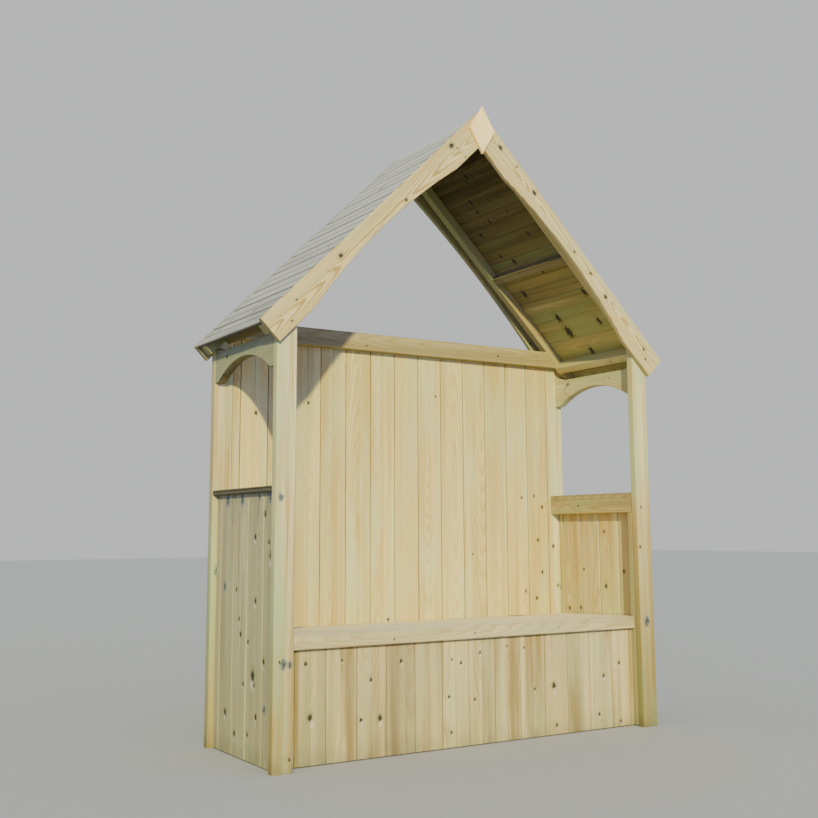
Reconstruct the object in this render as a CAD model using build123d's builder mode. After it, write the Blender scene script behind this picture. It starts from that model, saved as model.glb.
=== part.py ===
"""Garden storage arbour, in millimetres, at its real size.

X runs along the front (right is +X), Y runs from the front to the rear, and Z is up.
The origin is on the ground, in the middle of the arbour's overall box.
Four posts carry a steep gable roof of boards.  The back and the lower sides are
boarded, and a full-width seat between them is the hinged lid of a storage box.
"""
import os
from math import cos, radians, sin, sqrt, tan

from build123d import *

os.makedirs("parts", exist_ok=True)

# Overall frame
frame_width = 1650.0
frame_depth = 578.0
foot_gap = 4.0
seat_gap = 0.3

# Posts: the height is that of the front ones, at the outer face
post_height = 1433.0
post_width = 72.0
post_depth = 35.0
rear_post_depth = 40.0

# Roof
roof_pitch = 45.0
eave_overhang = 64.5
roof_board = 12.0
rafter_depth = 38.0
rafter_thickness = 35.0
barge_thickness = 20.0
barge_front_width = 100.0
barge_front_rise = 10.0
barge_front_arch_place = 660.0
barge_front_arch_length = 826.0
barge_front_arch_rise = 36.0
barge_rear_width = 69.0
barge_rear_rise = 0.3
barge_rear_arch_place = 620.0
barge_rear_arch_length = 1040.0
barge_rear_arch_rise = 27.0
plate_half_width = 58.0
plate_half_height = 93.0
plate_thickness = 14.0
plate_top_rise = 24.0
plate_chamfer = 3.0

# Rails under the roof boards: one part way down the slope, one at the eaves
mid_rail_place = 652.0
mid_rail_width = 32.0
mid_rail_depth = 38.0
eave_rail_inset = 21.0
eave_rail_width = 34.0
eave_rail_depth = 55.0

# Sides
board_thickness = 12.0
side_recess = 19.0
arm_height = 906.0
arm_cap_thickness = 20.0
arm_cap_round = 5.0
arm_rail_height = 60.0
corner_batten_depth = 23.0

# Arched boards at the top of each side opening
arch_thickness = 35.0
arch_top_drop = 18.0
arch_crown_depth = 47.0
arch_height = 114.0
arch_foot_length = 26.0
arch_knee_length = 60.0
arch_knee_rise = 18.0

# Back
back_top_rise = 35.0
back_rail_height = 68.0

# Seat and storage box: the seat's height is taken at its front edge
seat_height = 419.0
seat_fall = 17.0
seat_front_drop = 45.0
seat_board = 18.0
seat_front_thickness = 20.0
seat_front_reach = 2.0
seat_end_gap = 6.0
seat_corner_notch = 44.0
seat_rear_rail_depth = 41.0
seat_joint = 6.4
lid_batten_width = 45.0
lid_batten_depth = 20.0
lid_batten_from_end = 308.0
lid_batten_end_gap = 25.0
floor_height = 52.0
bearer_depth = 35.0

# Hinges of the seat
hinge_from_end = 268.0
hinge_length = 75.0
hinge_leaf = 1.6
hinge_leaf_height = 17.0
knuckle_radius = 2.8
knuckle_gap = 0.6
knuckle_rise = 0.3
pin_radius = 1.2
pin_clearance = 0.08

# Places that follow from the sizes above
pitch = radians(roof_pitch)
overall_depth = frame_depth + 2 * barge_thickness + plate_thickness
front_face = -overall_depth / 2 + plate_thickness + barge_thickness
rear_face = front_face + frame_depth
outer = frame_width / 2
inner = outer - post_width
rafter_drop = roof_board + rafter_depth
ridge_height = post_height + outer * tan(pitch) + rafter_drop / cos(pitch)
slope_length = (outer + eave_overhang) / cos(pitch)
eave_rail_place = (outer - eave_rail_inset + roof_board * sin(pitch)) / cos(pitch)
arch_top = post_height - arch_top_drop
front_post_back = front_face + post_depth
rear_post_front = rear_face - rear_post_depth
rear_rafter_front = rear_post_front - rafter_thickness
span = rear_post_front - front_post_back
span_middle = (front_post_back + rear_post_front) / 2
panel_outer = outer - side_recess
panel_inner = panel_outer - board_thickness
back_top = post_height + post_width * tan(pitch) + back_top_rise
front_panel_face = front_post_back + corner_batten_depth
front_panel_back = front_panel_face + board_thickness
cap_bottom = arm_height - arm_cap_thickness
rail_bottom = cap_bottom - arm_rail_height
lid_front_half = inner - seat_end_gap
lid_half = panel_inner - seat_end_gap
lid_batten_place = lid_half - lid_batten_from_end
hinge_place = lid_half - hinge_from_end
lid_front = front_post_back - seat_front_reach
lid_lip_back = lid_front + seat_front_thickness
seat_rail_front = rear_post_front - seat_rear_rail_depth
lid_rear = seat_rail_front - seat_joint
seat_slope = seat_fall / (rear_post_front - lid_front)
axis_y = lid_rear + seat_joint / 2
axis_z = seat_height - (axis_y - lid_front) * seat_slope + knuckle_rise


def front_plane(y):
    """A vertical plane across the arbour at depth y, which faces the front."""
    return Plane.XZ.offset(-y)


def slope_point(along, drop):
    """A point of the right slope: along from the ridge, and drop below the roof's top."""
    x = along * cos(pitch) - drop * sin(pitch)
    z = ridge_height - along * sin(pitch) - drop * cos(pitch)
    return x, z


def slope_line(x, drop):
    """The height at x of a line that runs drop below the right slope's top."""
    return ridge_height - x * tan(pitch) - drop / cos(pitch)


def keep(piece, name):
    """Label a finished piece and write its file."""
    piece.label = name
    export_step(piece, f"parts/{name}.step")


def keep_pair(piece, name):
    """Keep a right-hand piece, and its mirror image for the left."""
    keep(mirror(piece, about=Plane.YZ), name + "_left")
    keep(piece, name + "_right")


def box_between(low, high):
    """A squared length of timber between two corners."""
    size = [b - a for a, b in zip(low, high)]
    with BuildPart() as timber:
        with BuildSketch(Plane.XY.offset(low[2])):
            with Locations(((low[0] + high[0]) / 2, (low[1] + high[1]) / 2)):
                Rectangle(size[0], size[1])
        extrude(amount=size[2])
    return timber.part


def seat_layer(half, y_front, y_rear, top_drop, bottom_drop):
    """A board across the arbour that follows the seat's fall, between two drops below its top."""
    front = seat_height - (y_front - lid_front) * seat_slope
    rear = seat_height - (y_rear - lid_front) * seat_slope
    with BuildPart() as layer:
        with BuildSketch(Plane.YZ.offset(-half)):
            Polygon(
                (y_front, front - top_drop),
                (y_rear, rear - top_drop),
                (y_rear, rear - bottom_drop),
                (y_front, front - bottom_drop),
                align=None,
            )
        extrude(amount=2 * half)
    return layer.part


def back_rail():
    """The rail along the top of the back, with its ends cut to the rafters' lower edge."""
    bottom = back_top - back_rail_height
    half_top = (slope_line(0, rafter_drop) - back_top) / tan(pitch)
    half_bottom = (slope_line(0, rafter_drop) - bottom) / tan(pitch)
    with BuildPart() as rail:
        with BuildSketch(front_plane(rear_rafter_front)):
            Polygon(
                (-half_bottom, bottom),
                (half_bottom, bottom),
                (half_top, back_top),
                (-half_top, back_top),
                align=None,
            )
        extrude(amount=-rafter_thickness)
    return rail.part


def post(y_front, depth, top_drop):
    """A right-hand post from the ground up, with its top cut to the roof's pitch."""
    with BuildPart() as upright:
        with BuildSketch(front_plane(y_front)):
            Polygon(
                (inner, 0),
                (outer, 0),
                (outer, slope_line(outer, top_drop)),
                (inner, slope_line(inner, top_drop)),
                align=None,
            )
        extrude(amount=-depth)
    return upright.part


def sloping_board(y_front, thickness, top_drop, bottom_drop):
    """A board along the right slope, mitred at the ridge and cut square at the eaves."""
    with BuildPart() as board:
        with BuildSketch(front_plane(y_front)):
            Polygon(
                (0, slope_line(0, top_drop)),
                slope_point(slope_length, top_drop),
                slope_point(slope_length, bottom_drop),
                (0, slope_line(0, bottom_drop)),
                align=None,
            )
        extrude(amount=-thickness)
    return board.part


def barge_board(y_front, width, rise, arch_place, arch_length, arch_rise):
    """A board on edge over the roof's end, with a shallow arch cut along its lower edge."""
    bottom = width - rise
    half = arch_length / 2
    with BuildPart() as barge:
        with BuildSketch(front_plane(y_front)):
            with BuildLine():
                ThreePointArc(
                    slope_point(arch_place + half, bottom),
                    slope_point(arch_place, bottom - arch_rise),
                    slope_point(arch_place - half, bottom),
                )
                Polyline(
                    slope_point(arch_place - half, bottom),
                    (0, slope_line(0, bottom)),
                    (0, slope_line(0, -rise)),
                    slope_point(slope_length, -rise),
                    slope_point(slope_length, bottom),
                    slope_point(arch_place + half, bottom),
                )
            make_face()
        extrude(amount=-barge_thickness)
    return barge.part


def cross_rail(place, width, depth):
    """A rail on edge under the right slope, from the front rafter to the rear one."""
    with BuildPart() as rail:
        with BuildSketch(front_plane(front_post_back)):
            Polygon(
                slope_point(place, roof_board),
                slope_point(place + width, roof_board),
                slope_point(place + width, roof_board + depth),
                slope_point(place, roof_board + depth),
                align=None,
            )
        extrude(amount=front_post_back - rear_rafter_front)
    return rail.part


def arched_board():
    """The board over a side opening: arched below, with a knee raised at each end."""
    foot = span / 2 - arch_foot_length
    foot_bottom = arch_top - arch_height
    knee = span / 2 - arch_knee_length
    crown = arch_top - arch_crown_depth
    with BuildPart() as arch:
        with BuildSketch(Plane.YZ.offset(outer - arch_thickness)):
            with BuildLine(Location((span_middle, 0))):
                Polyline(
                    (-foot, foot_bottom),
                    (-span / 2, foot_bottom),
                    (-span / 2, arch_top + arch_knee_rise),
                    (-knee, arch_top),
                    (knee, arch_top),
                    (span / 2, arch_top + arch_knee_rise),
                    (span / 2, foot_bottom),
                    (foot, foot_bottom),
                )
                ThreePointArc((foot, foot_bottom), (0, crown), (-foot, foot_bottom))
            make_face()
        extrude(amount=arch_thickness)
    return arch.part


def arm_cap():
    """The flat board on top of a side panel, rounded along its outer edges."""
    with BuildPart() as cap:
        with BuildSketch(Plane.YZ.offset(inner)):
            with Locations((span_middle, arm_height - arm_cap_thickness / 2)):
                Rectangle(span, arm_cap_thickness)
        extrude(amount=post_width)
        fillet(cap.faces().sort_by(Axis.X)[-1].edges().filter_by(Axis.Y), arm_cap_round)
    return cap.part


def apex_plate():
    """The diamond that covers the mitre of the front barge boards."""
    middle = ridge_height + plate_top_rise - plate_half_height
    with BuildPart() as plate:
        with BuildSketch(front_plane(front_face - barge_thickness)):
            with Locations((0, middle)):
                Polygon(
                    (-plate_half_width, 0),
                    (0, -plate_half_height),
                    (plate_half_width, 0),
                    (0, plate_half_height),
                    align=None,
                )
        extrude(amount=plate_thickness)
        chamfer(plate.faces().sort_by(Axis.Y)[0].edges(), plate_chamfer)
    return plate.part


def hinge_half(fixed):
    """Half of a butt hinge: the fixed half holds the pin, and the other half turns on it."""
    third = hinge_length / 3
    side = 1 if fixed else -1
    leaf_outside = axis_y + side * seat_joint / 2
    leaf_middle = leaf_outside - side * hinge_leaf / 2
    leaf_top = axis_z - knuckle_radius - knuckle_gap
    if fixed:
        spans = ((-1.5 * third, -0.5 * third), (0.5 * third, 1.5 * third))
    else:
        spans = ((-0.5 * third + knuckle_gap, 0.5 * third - knuckle_gap),)
    with BuildPart() as half:
        with Locations((0, leaf_middle, leaf_top - hinge_leaf_height / 2)):
            Box(hinge_length, hinge_leaf, hinge_leaf_height)
        for start, end in spans:
            with BuildSketch(Plane.YZ.offset(start)):
                with Locations((axis_y, axis_z)):
                    Circle(knuckle_radius)
                with Locations((leaf_middle, (leaf_top + axis_z) / 2)):
                    Rectangle(hinge_leaf, axis_z - leaf_top)
            extrude(amount=end - start)
        if fixed:
            with BuildSketch(Plane.YZ.offset(-third)):
                with Locations((axis_y, axis_z)):
                    Circle(pin_radius)
            extrude(amount=2 * third)
        else:
            with BuildSketch(Plane.YZ.offset(-third)):
                with Locations((axis_y, axis_z)):
                    Circle(pin_radius + pin_clearance)
            extrude(amount=2 * third, mode=Mode.SUBTRACT)
    return half.part


# Posts
keep_pair(post(front_face, post_depth, rafter_drop), "post_front")
keep_pair(post(rear_post_front, rear_post_depth, roof_board), "post_rear")

# Roof: boards, rafters, barge boards, rails and the plate at the apex
keep_pair(sloping_board(front_face, frame_depth, 0, roof_board), "roof")
keep_pair(
    sloping_board(front_face, rafter_thickness, roof_board, rafter_drop),
    "rafter_front",
)
keep_pair(
    sloping_board(rear_rafter_front, rafter_thickness, roof_board, rafter_drop),
    "rafter_rear",
)
keep_pair(
    barge_board(
        front_face - barge_thickness,
        barge_front_width,
        barge_front_rise,
        barge_front_arch_place,
        barge_front_arch_length,
        barge_front_arch_rise,
    ),
    "barge_front",
)
keep_pair(
    barge_board(
        rear_face,
        barge_rear_width,
        barge_rear_rise,
        barge_rear_arch_place,
        barge_rear_arch_length,
        barge_rear_arch_rise,
    ),
    "barge_rear",
)
keep_pair(cross_rail(mid_rail_place, mid_rail_width, mid_rail_depth), "mid_rail")
keep_pair(cross_rail(eave_rail_place, eave_rail_width, eave_rail_depth), "eave_rail")
keep(apex_plate(), "apex_plate")

# Sides: boards, arm rail and cap, arched board, and the batten behind each front post
keep_pair(
    box_between(
        (panel_inner, front_post_back, foot_gap),
        (panel_outer, rear_post_front, cap_bottom),
    ),
    "side_panel",
)
keep_pair(
    box_between(
        (inner, front_post_back, rail_bottom),
        (panel_inner, rear_post_front, cap_bottom),
    ),
    "arm_rail",
)
keep_pair(arm_cap(), "arm_cap")
keep_pair(arched_board(), "arch")
keep_pair(
    box_between(
        (inner, front_post_back, foot_gap),
        (panel_inner, front_panel_face, rail_bottom),
    ),
    "corner_batten",
)

# Back: boards between the rear posts, with a rail along their top
keep(
    box_between(
        (-inner, rear_post_front, foot_gap),
        (inner, rear_post_front + board_thickness, back_top),
    ),
    "back_panel",
)
keep(back_rail(), "back_top_rail")

# Storage box: front boards, floor and its bearers, and the fixed rail behind the lid
front_panel_top = seat_height - (front_panel_back - lid_front) * seat_slope - seat_board
keep(
    box_between(
        (-panel_inner, front_panel_face, foot_gap),
        (panel_inner, front_panel_back, front_panel_top - seat_gap),
    ),
    "front_panel",
)
keep(
    box_between(
        (-panel_inner, front_panel_back, floor_height - board_thickness),
        (panel_inner, rear_post_front, floor_height),
    ),
    "storage_floor",
)
keep(
    box_between(
        (-panel_inner, front_panel_back, foot_gap),
        (panel_inner, front_panel_back + bearer_depth, floor_height - board_thickness),
    ),
    "floor_bearer_front",
)
keep(
    box_between(
        (-panel_inner, rear_post_front - bearer_depth, foot_gap),
        (panel_inner, rear_post_front, floor_height - board_thickness),
    ),
    "floor_bearer_rear",
)
keep(
    seat_layer(panel_inner, seat_rail_front, rear_post_front, 0, seat_front_drop),
    "seat_rear_rail",
)

# Seat lid: boards notched round the front corners, a front rail and two battens below
with BuildPart() as lid_boards:
    add(seat_layer(lid_half, lid_lip_back, lid_rear, 0, seat_board))
    corner_width = lid_half - lid_front_half
    with Locations(
        (lid_half - corner_width / 2, lid_front + seat_corner_notch / 2, seat_height),
        (corner_width / 2 - lid_half, lid_front + seat_corner_notch / 2, seat_height),
    ):
        Box(corner_width, seat_corner_notch, 4 * seat_board, mode=Mode.SUBTRACT)
keep(lid_boards.part, "seat_boards")
keep(
    seat_layer(lid_front_half, lid_front, lid_lip_back, 0, seat_front_drop),
    "seat_front_rail",
)
to_batten = Location((lid_batten_place, 0, 0))
lid_batten = seat_layer(
    lid_batten_width / 2,
    front_panel_back + lid_batten_end_gap,
    lid_rear - lid_batten_end_gap,
    seat_board,
    seat_board + lid_batten_depth,
)
keep_pair(lid_batten.moved(to_batten), "seat_batten")

# Hinges between the lid and the rail behind it
to_place = Location((hinge_place, 0, 0))
keep_pair(hinge_half(fixed=True).moved(to_place), "hinge_fixed")
keep_pair(hinge_half(fixed=False).moved(to_place), "hinge_lid")
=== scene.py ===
"""Garden storage arbour: frame timbers, matchboards, seat lid and hinges in treated pine."""
from math import cos, pi, radians, sin, sqrt

import bpy
import numpy as np
from mathutils import Matrix, Vector


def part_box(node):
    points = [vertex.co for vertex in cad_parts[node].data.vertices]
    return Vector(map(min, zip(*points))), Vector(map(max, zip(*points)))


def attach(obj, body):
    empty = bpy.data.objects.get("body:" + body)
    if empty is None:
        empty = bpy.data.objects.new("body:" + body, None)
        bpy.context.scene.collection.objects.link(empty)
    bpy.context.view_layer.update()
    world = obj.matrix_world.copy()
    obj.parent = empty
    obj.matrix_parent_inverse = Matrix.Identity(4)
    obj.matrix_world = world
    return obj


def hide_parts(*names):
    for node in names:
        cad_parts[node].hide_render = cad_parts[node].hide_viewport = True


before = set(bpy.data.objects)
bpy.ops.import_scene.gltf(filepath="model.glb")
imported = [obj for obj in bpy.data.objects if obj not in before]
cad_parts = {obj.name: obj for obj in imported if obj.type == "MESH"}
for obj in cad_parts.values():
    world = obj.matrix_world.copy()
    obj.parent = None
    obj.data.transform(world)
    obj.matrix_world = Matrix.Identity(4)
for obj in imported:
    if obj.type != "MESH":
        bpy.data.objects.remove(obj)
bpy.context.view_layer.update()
chance = np.random.default_rng(41)

RIGHT, REAR, UP = np.eye(3)
ORIGIN = np.zeros(3)

OUTER = 0.825  # outer sides of the posts
INNER = 0.753  # inner sides of the posts
SIDE_FACE = 0.806  # outer faces of the side boards
SIDE_INNER = 0.794  # inner faces of the side boards
FRONT = -0.282  # front faces of the front posts
POST_BACK = -0.247  # rear faces of the front posts
RAFTER_REAR = 0.221  # front faces of the rear rafters
REAR_POST = 0.256  # front faces of the rear posts
ROOF_END = 0.296  # rear faces of the rear posts and rear ends of the roof boards
BOARD = 0.012  # thickness of every matchboard
COVER = 0.1122  # width that a board covers on the back and on the roof
BARGE = 0.02  # thickness of the barge boards
RAFTER_LOW = 0.05  # undersides of the rafters, square to the roof's top
ARCH = 0.035  # thickness of the arched boards
RIDGE = float(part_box("roof_right")[1][2])
HALF = sqrt(0.5)
SLOPE = float(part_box("roof_right")[1][0]) / HALF
SIDES = ((-1, "left"), (1, "right"))
FAR = (-50.0, -50.0, 0.001)  # a knot or stain that touches nothing


def corners(node):
    """The low and the high corner of a node's box."""
    low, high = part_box(node)
    return [float(v) for v in low], [float(v) for v in high]


def mm(*spots):
    """Knots or stains in metres, given in millimetres."""
    return [tuple(v / 1000 for v in spot) for spot in spots]


# ---------------- timber in mesh form

def oblong(e0, e1, d0, d1, ease=0.002):
    """An oblong section with its four corners cut off, point by point anticlockwise."""
    e0, e1 = np.asarray(e0, float), np.asarray(e1, float)
    across = [e0 + ease, e1 - ease, e1, e1, e1 - ease, e0 + ease, e0, e0]
    deep = [d0, d0, d0 + ease, d1 - ease, d1, d1, d1 - ease, d0 + ease]
    deep = [np.broadcast_to(v, e0.shape) for v in deep]
    return np.stack([np.stack(across, -1), np.stack(deep, -1)], -1)


def matchboard(e0, e1, middle=True, joint=0.0028, ends=(1.0, 1.0), ease=0.0012, spread=0.0,
        centre=0.8):
    """A board section with a v joint at each edge of its show face and one down its middle.

    With it comes the dirt at each point.  The ends tell how much of it lies in the joint at each
    edge: none where no board follows.  The ease is the size of the rear edges, centre is the
    dirt in the middle joint, and the dirt spreads onto the face by the given width.
    """
    a, b, v = e0 + 0.0002, e1 - 0.0002, joint
    beside, lip = max(spread, 0.0005), float(spread > 0) * 0.8
    points = [(a + ease, 0), (b - ease, 0), (b, ease), (b, BOARD - v), (b - v, BOARD),
        (b - v - beside, BOARD)]
    groove = [0, 0, ends[1], ends[1], lip * ends[1], 0]
    if middle:
        m, w = (a + b) / 2, v * 0.8
        points += [(m + w + beside, BOARD), (m + w, BOARD), (m, BOARD - v * 0.7), (m - w, BOARD),
            (m - w - beside, BOARD)]
        groove += [0, lip * 0.6, centre, lip * 0.6, 0]
    points += [(a + v + beside, BOARD), (a + v, BOARD), (a, BOARD - v), (a, ease)]
    groove += [0, lip * ends[0], ends[0], ends[0]]
    return np.array(points), np.array(groove, float)


def arc(place, centre, half, rise):
    """The height of an arc of a circle above its chord, and 0 beyond its ends."""
    radius = (half ** 2 + rise ** 2) / (2 * rise)
    inside = np.clip(radius ** 2 - (place - centre) ** 2, 0, None)
    return np.clip(np.sqrt(inside) - (radius - rise), 0, None)


def some_pith(width, aside=0.0, drift=1.0):
    """A pith's place across, its depth and its drift, drawn at random."""
    return (chance.normal(0, 0.22) * width + aside, -chance.uniform(0.02, 0.06),
        chance.uniform(0.015, 0.05) * chance.choice([-1, 1]) * drift)


def nearest(spots, count, centres, middle, shift):
    """The nearest knots or stains to each length between two rings, the rest far away."""
    table = np.tile(np.array(FAR), (len(centres), count, 1))
    if len(spots):
        places = np.array([(s, e - middle, size) for e, s, size in spots], float)
        for row, centre in enumerate(centres):
            near = np.argsort(np.abs(places[:, 0] - centre))[:count]
            table[row, :len(near)] = places[near]
            table[row, :len(near), 0] += shift
    return table


def stick(section, origin, along, normal, side, stations, start=None, end=None, knots=(),
        stains=(), weather=(0.0, 0.0), top=0.0, foot=0.0, tone=None, pith=None, middle=None,
        groove=None):
    """One length of timber.

    A point is origin + s along + e side + d normal, where (e, d) runs round the section and s
    runs over the stations.  The first and last rings may be cut to a plane: start and end give
    s from the points of the ring at s = 0.  Knots and stains are e, s and size.  Weather is the
    wear at the lowest and highest d, top the wear along the edge with the lowest e, and foot how
    dark the timber turns towards the ground.  Tone is lightness, strength of the rings and
    warmth.  Pith is its place across, its depth below the lowest d and how far it drifts.  The
    grain is measured from the middle, and groove is the dirt at each point of the section.
    """
    stations = np.asarray(stations, float)
    section = np.asarray(section, float)
    if section.ndim == 2:
        section = np.repeat(section[None], len(stations), 0)
    groove = np.zeros(section.shape[1]) if groove is None else np.asarray(groove, float)
    if np.dot(np.cross(normal, along), side) < 0:
        section = section[:, ::-1]
        groove = groove[::-1]
    e, d = section[..., 0], section[..., 1]
    base = origin + e[..., None] * side + d[..., None] * normal
    s = np.repeat(stations[:, None], e.shape[1], 1)
    if start is not None:
        s[0] = start(base[0])
    if end is not None:
        s[-1] = end(base[-1])
    points = base + s[..., None] * along
    rings, around = e.shape
    index = np.arange(rings * around).reshape(rings, around)
    beside = np.roll(index, -1, 1)
    quads = np.stack([index[:-1], beside[:-1], beside[1:], index[1:]], -1).reshape(-1, 4)
    if middle is None:
        middle = (e.min() + e.max()) / 2
    grain = np.stack([s, e - middle, d], -1).reshape(-1, 3)
    low, high = d.min(), d.max()
    share = (d - low) / max(high - low, 1e-9)
    wear = weather[0] + (weather[1] - weather[0]) * share
    wear = np.where(e < e.min(1, keepdims=True) + 1e-4, np.maximum(wear, top), wear)
    marks = np.stack([np.broadcast_to(groove, e.shape), wear, np.zeros_like(e)], -1)
    tone = chance.random(3) if tone is None else np.asarray(tone, float)
    if pith is None:
        pith = some_pith(e.max() - e.min())
    shift = chance.uniform(0, 20)
    grain[:, 0] += shift
    centres = (stations[:-1] + stations[1:]) / 2
    return dict(points=points.reshape(-1, 3), quads=quads, caps=(index[0][::-1], index[-1]),
        grain=grain, marks=marks.reshape(-1, 3), tone=tone, around=around, foot=foot,
        pith=np.array((pith[0], low + pith[1], pith[2]), float),
        knots=nearest(knots, 4, centres, middle, shift),
        stains=nearest(stains, 2, centres, middle, shift))


def add_object(name, data):
    """A new object in the scene."""
    piece = bpy.data.objects.new(name, data)
    bpy.context.scene.collection.objects.link(piece)
    return piece


def add_mesh(name, points, faces, material):
    """A new mesh object in the scene."""
    mesh = bpy.data.meshes.new(name)
    mesh.from_pydata(points, [], faces)
    mesh.materials.append(material)
    return add_object(name, mesh)


def build(name, sticks, finish, nodes, body="frame"):
    """Join sticks into one mesh object, with their grain, marks and knots as attributes."""
    points, faces, grain, marks, per_face = [], [], [], [], []
    count = 0
    for one in sticks:
        faces += (one["quads"] + count).tolist() + [(cap + count).tolist() for cap in one["caps"]]
        points.append(one["points"])
        grain.append(one["grain"])
        marks.append(one["marks"])
        rows = np.repeat(np.concatenate([one["knots"], one["stains"]], 1), one["around"], 0)
        rows = np.concatenate([rows, rows[:1], rows[-1:]])
        flag = np.zeros((len(rows), 1, 3))
        flag[-2:, 0, 0] = 1.0
        flag[:, 0, 1] = one["foot"]
        same = np.tile(np.stack([one["tone"], one["pith"]]), (len(rows), 1, 1))
        per_face.append(np.concatenate([rows, same, flag], 1))
        count += len(one["points"])
    piece = add_mesh(name, np.concatenate(points).tolist(), faces, PINE[finish])
    made = piece.data.attributes
    for key, values in (("grain", grain), ("marks", marks)):
        made.new(key, "FLOAT_VECTOR", "POINT").data.foreach_set(
            "vector", np.concatenate(values).astype(np.float32).ravel())
    table = np.concatenate(per_face).astype(np.float32)
    keys = ("knot_a", "knot_b", "knot_c", "knot_d", "stain_a", "stain_b", "tone", "pith", "cut")
    for column, key in enumerate(keys):
        made.new(key, "FLOAT_VECTOR", "FACE").data.foreach_set(
            "vector", np.ascontiguousarray(table[:, column]).ravel())
    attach(piece, body)
    if nodes:
        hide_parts(*nodes)


def single(node, finish, slot, *shape, body="frame", **looks):
    """A node that is one length of timber."""
    build("timber_" + node, [stick(*shape, **looks)], finish, [node], body)


def evenly(low, high, step=0.16):
    """Stations from low to high, about a step apart."""
    return np.linspace(low, high, max(2, int(round((high - low) / step)) + 1))


def loose_knots(e0, e1, low, high, rate=1.6, size=(0.003, 0.008)):
    """Knots scattered along a board where the photograph doesn't show its face."""
    amount = chance.poisson(rate * (high - low))
    return [(chance.uniform(e0 + 0.01, e1 - 0.01), chance.uniform(low, high),
        chance.uniform(*size)) for _ in range(amount)]


def within(spots, e0, e1, margin, grow=1.0):
    """The knots or stains that reach a board, their sizes times grow."""
    return [(e, s, grow * size) for e, s, size in spots if e0 - margin < e < e1 + margin]


def boarding(edges, origin, along, normal, side, low, high, knots=None, stains=(), grow=1.2,
        weather=(0.0, 0.0), middle=True, joint=0.0028, ease=0.0012, centre=0.8, tones=None,
        lifts=None):
    """Matchboards side by side between the edges, each with its own grain and tone.

    The lifts make single boards lighter or darker.
    """
    out = []
    last = len(edges) - 2
    for number, (e0, e1) in enumerate(zip(edges[:-1], edges[1:])):
        mine = (loose_knots(e0, e1, low, high, 1.2) if knots is None else
            within(knots, e0, e1, 0.012, grow))
        section, groove = matchboard(e0, e1, middle and e1 - e0 > 0.07, joint,
            (float(number > 0), float(number < last)), ease, centre=centre)
        tone = None if tones is None else tones[number % len(tones)]
        out.append(stick(section, origin, along, normal, side, evenly(low, high), knots=mine,
            stains=within(stains, e0, e1, 0.02), weather=weather, groove=groove, tone=tone))
        if lifts is not None:
            out[-1]["tone"][0] += lifts[number]
    return out


# ---------------- finishes

class Graph:
    """A node tree: each method adds a node and gives back its output."""

    def __init__(self, tree):
        self.tree = tree

    def link(self, output, socket):
        """Join an output to an input."""
        self.tree.links.new(output, socket)

    def put(self, kind, values=None, **settings):
        """Add a node with its settings, then link or fill its inputs."""
        node = self.tree.nodes.new(kind)
        for key, value in settings.items():
            setattr(node, key, value)
        for key, value in (values or {}).items():
            if isinstance(value, bpy.types.NodeSocket):
                self.link(value, node.inputs[key])
            else:
                node.inputs[key].default_value = value
        return node

    def calc(self, operation, *values, clamp=False):
        """A number worked out by a Math node."""
        return self.put("ShaderNodeMath", dict(enumerate(values)), operation=operation,
            use_clamp=clamp).outputs[0]

    def add(self, first, *rest):
        """The sum of the values."""
        for value in rest:
            first = self.calc("ADD", first, value)
        return first

    def times(self, first, *rest):
        """The product of the values."""
        for value in rest:
            first = self.calc("MULTIPLY", first, value)
        return first

    def less(self, first, second):
        """The first value less the second."""
        return self.calc("SUBTRACT", first, second)

    def scaled(self, value, factor, offset):
        """The value times a factor, plus an offset."""
        return self.calc("MULTIPLY_ADD", value, factor, offset)

    def length(self, first, second):
        """The root of the sum of two squares."""
        return self.calc("SQRT", self.add(self.times(first, first), self.times(second, second)))

    def step(self, value, low, high, out_low=0.0, out_high=1.0):
        """A smooth step of a value between two limits."""
        pairs = {"Value": value, "From Min": low, "From Max": high, "To Min": out_low,
            "To Max": out_high}
        return self.put("ShaderNodeMapRange", pairs, interpolation_type="SMOOTHSTEP").outputs[0]

    def blend(self, share, first, second, mode="MIX"):
        """Two colours mixed."""
        return self.put("ShaderNodeMix", {0: share, 6: first, 7: second}, data_type="RGBA",
            blend_type=mode).outputs[2]

    def split(self, vector):
        """The three parts of a vector."""
        return tuple(self.put("ShaderNodeSeparateXYZ", {0: vector}).outputs)

    def join(self, *values):
        """A vector from its three parts."""
        return self.put("ShaderNodeCombineXYZ", dict(enumerate(values))).outputs[0]

    def apart(self, first, second):
        """The three parts of one vector less another."""
        return self.split(self.put("ShaderNodeVectorMath", {0: first, 1: second},
            operation="SUBTRACT").outputs[0])

    def attribute(self, name):
        """An attribute of the mesh, as a vector."""
        return self.put("ShaderNodeAttribute", attribute_name=name).outputs["Vector"]

    def noise(self, place, scale, detail=2.0, rough=0.5):
        """Noise from 0 to 1 at a place."""
        pairs = {"Vector": place, "Scale": scale, "Detail": detail, "Roughness": rough}
        return self.put("ShaderNodeTexNoise", pairs).outputs["Fac"]

    def drawn(self, *parts, scale=1.0, detail=2.0, rough=0.5):
        """Noise drawn out: each part of its place is a number or a value with its factor."""
        parts = [self.times(*part) if isinstance(part, tuple) else part for part in parts]
        return self.noise(self.join(*parts), scale, detail, rough)


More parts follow.
